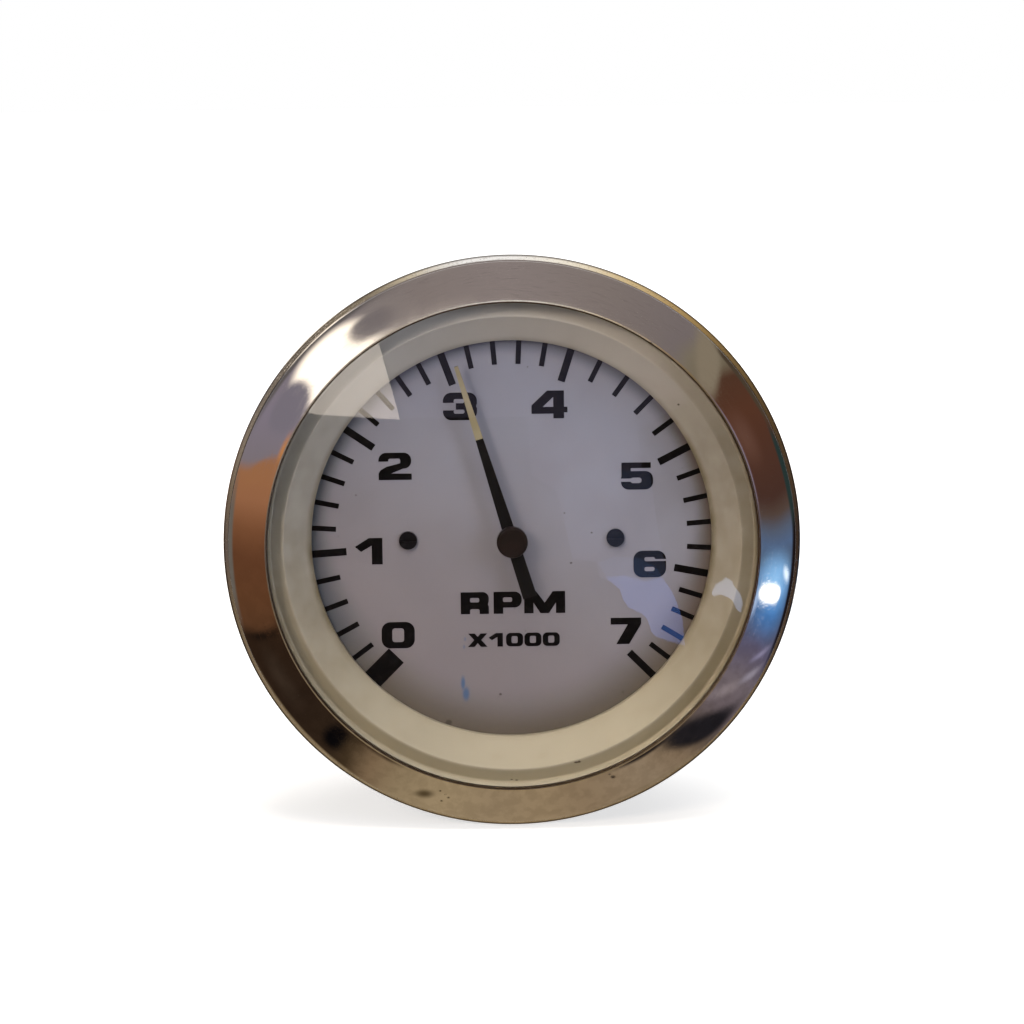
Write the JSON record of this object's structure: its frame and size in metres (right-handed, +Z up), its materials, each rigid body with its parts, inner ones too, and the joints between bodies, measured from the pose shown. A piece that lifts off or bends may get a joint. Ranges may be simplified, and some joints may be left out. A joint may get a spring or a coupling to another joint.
{
  "type": "boat tachometer",
  "caption": "Round panel tachometer with a stainless bezel, a pale dial, a turning pointer, rear terminals, a lamp holder, a selector and a clamp that holds it to a dash panel.",
  "frame": {"origin": "centre of the bezel's rear face, where it rests on the panel", "axes": "+Y into the panel, from the dial to the terminals; +Z up on the dial; +X to the right of someone who reads it"},
  "size_m": [0.1016, 0.095, 0.1016],
  "materials": {
    "polished_stainless": "polished, with fine turned lines",
    "black_rubber": "moulded matte",
    "clear_glass": "float glass, clear",
    "cream_plastic": "moulded cream plastic, satin",
    "dial_enamel": "matte off-white enamel on sheet",
    "dial_ink": "screen printed black",
    "blackened_screw": "blackened steel",
    "black_steel": "drawn steel in black enamel",
    "black_moulding": "moulded, satin",
    "turned_brass": "turned, dull",
    "red_moulding": "moulded nylon",
    "copper_winding": "enamelled copper wire",
    "nickel_iron": "drawn soft magnetic sheet",
    "zinc_steel": "bright zinc plated",
    "board_laminate": "glass laminate with green resist",
    "chip_moulding": "moulded epoxy",
    "capacitor_sleeve": "shrunk sleeve",
    "resistor_lacquer": "lacquered film body",
    "blue_moulding": "moulded",
    "fibre_washer": "pressed fibre",
    "pointer_black": "sheet in matte black paint",
    "pointer_cream": "brushed-on cream paint",
    "hub_plastic": "moulded, dark",
    "spindle_steel": "ground",
    "ferrite": "pressed and sintered",
    "white_nylon": "moulded nylon",
    "bulb_glass": "blown, clear"
  },
  "bodies": {
    "housing": {"bezel": "polished_stainless", "lens_gasket": "black_rubber", "lens": "clear_glass", "trim_ring": "cream_plastic", "dial_plate": "dial_enamel", "dial_print": "dial_ink", "dial_screws": "blackened_screw", "case_shell": "black_steel", "movement_frame": "black_moulding", "front_bearing": "turned_brass", "rear_bearing": "turned_brass", "bobbin_front": "red_moulding", "bobbin_rear": "red_moulding", "sine_winding": "copper_winding", "cosine_winding": "copper_winding", "coil_pins": "zinc_steel", "shield_can": "nickel_iron", "frame_screws": "zinc_steel", "board_pillars": "turned_brass", "board_screws": "zinc_steel", "circuit_board": "board_laminate", "driver_chip": "chip_moulding", "filter_capacitor": "capacitor_sleeve", "resistors": "resistor_lacquer", "calibration_trimmer": "blue_moulding", "selector_body": "black_moulding", "terminal_studs": "turned_brass", "terminal_bushes": "fibre_washer", "terminal_washers": "fibre_washer", "terminal_inner_nuts": "turned_brass", "terminal_lock_washers": "zinc_steel", "terminal_outer_nuts": "turned_brass", "clamp_studs": "zinc_steel", "clamp_stud_washers": "zinc_steel", "clamp_stud_nuts": "zinc_steel"},
    "pointer_assembly": {"pointer_blade": "pointer_black", "pointer_paint": "pointer_cream", "hub_cap": "hub_plastic", "pointer_bush": "turned_brass", "spindle": "spindle_steel", "magnet_rotor": "ferrite"},
    "selector": {"selector_knob": "white_nylon"},
    "lamp": {"lamp_holder": "white_nylon", "lamp_seal": "black_rubber", "lamp_blade": "turned_brass", "lamp_bulb": "bulb_glass"},
    "clamp": {"clamp_bracket": "zinc_steel", "clamp_washers": "zinc_steel"},
    "left_nut": {"left_knurled_nut": "turned_brass"},
    "right_nut": {"right_knurled_nut": "turned_brass"}
  },
  "joints": [
    {"name": "pointer_sweep", "type": "hinge", "parent": "housing", "child": "pointer_assembly", "pos_m": [0, 0, 0], "axis": [0, 1, 0], "range_deg": [-118, 152]},
    {"name": "selector_turn", "type": "hinge", "parent": "housing", "child": "selector", "pos_m": [-0.015, 0.058, 0.02], "axis": [0, 1, 0], "range_deg": [-40, 40]},
    {"name": "lamp_twist", "type": "hinge", "parent": "housing", "child": "lamp", "pos_m": [0.016, 0.058, 0.021], "axis": [0, 1, 0], "range_deg": [0, 45]},
    {"name": "clamp_slide", "type": "slide", "parent": "housing", "child": "clamp", "axis": [0, 1, 0], "range_m": [-0.00397, 0.00794]},
    {"name": "left_nut_turn", "type": "hinge", "parent": "clamp", "child": "left_nut", "pos_m": [-0.024, 0.0751, 0], "axis": [0, 1, 0], "range_deg": [-1800, 3600]},
    {"name": "right_nut_turn", "type": "hinge", "parent": "clamp", "child": "right_nut", "pos_m": [0.024, 0.0751, 0], "axis": [0, 1, 0], "range_deg": [-1800, 3600]}
  ],
  "couplings": [
    {"joint": "left_nut_turn", "follows": "clamp_slide", "rad_per_m": 7915.8},
    {"joint": "right_nut_turn", "follows": "clamp_slide", "rad_per_m": 7915.8}
  ]
}
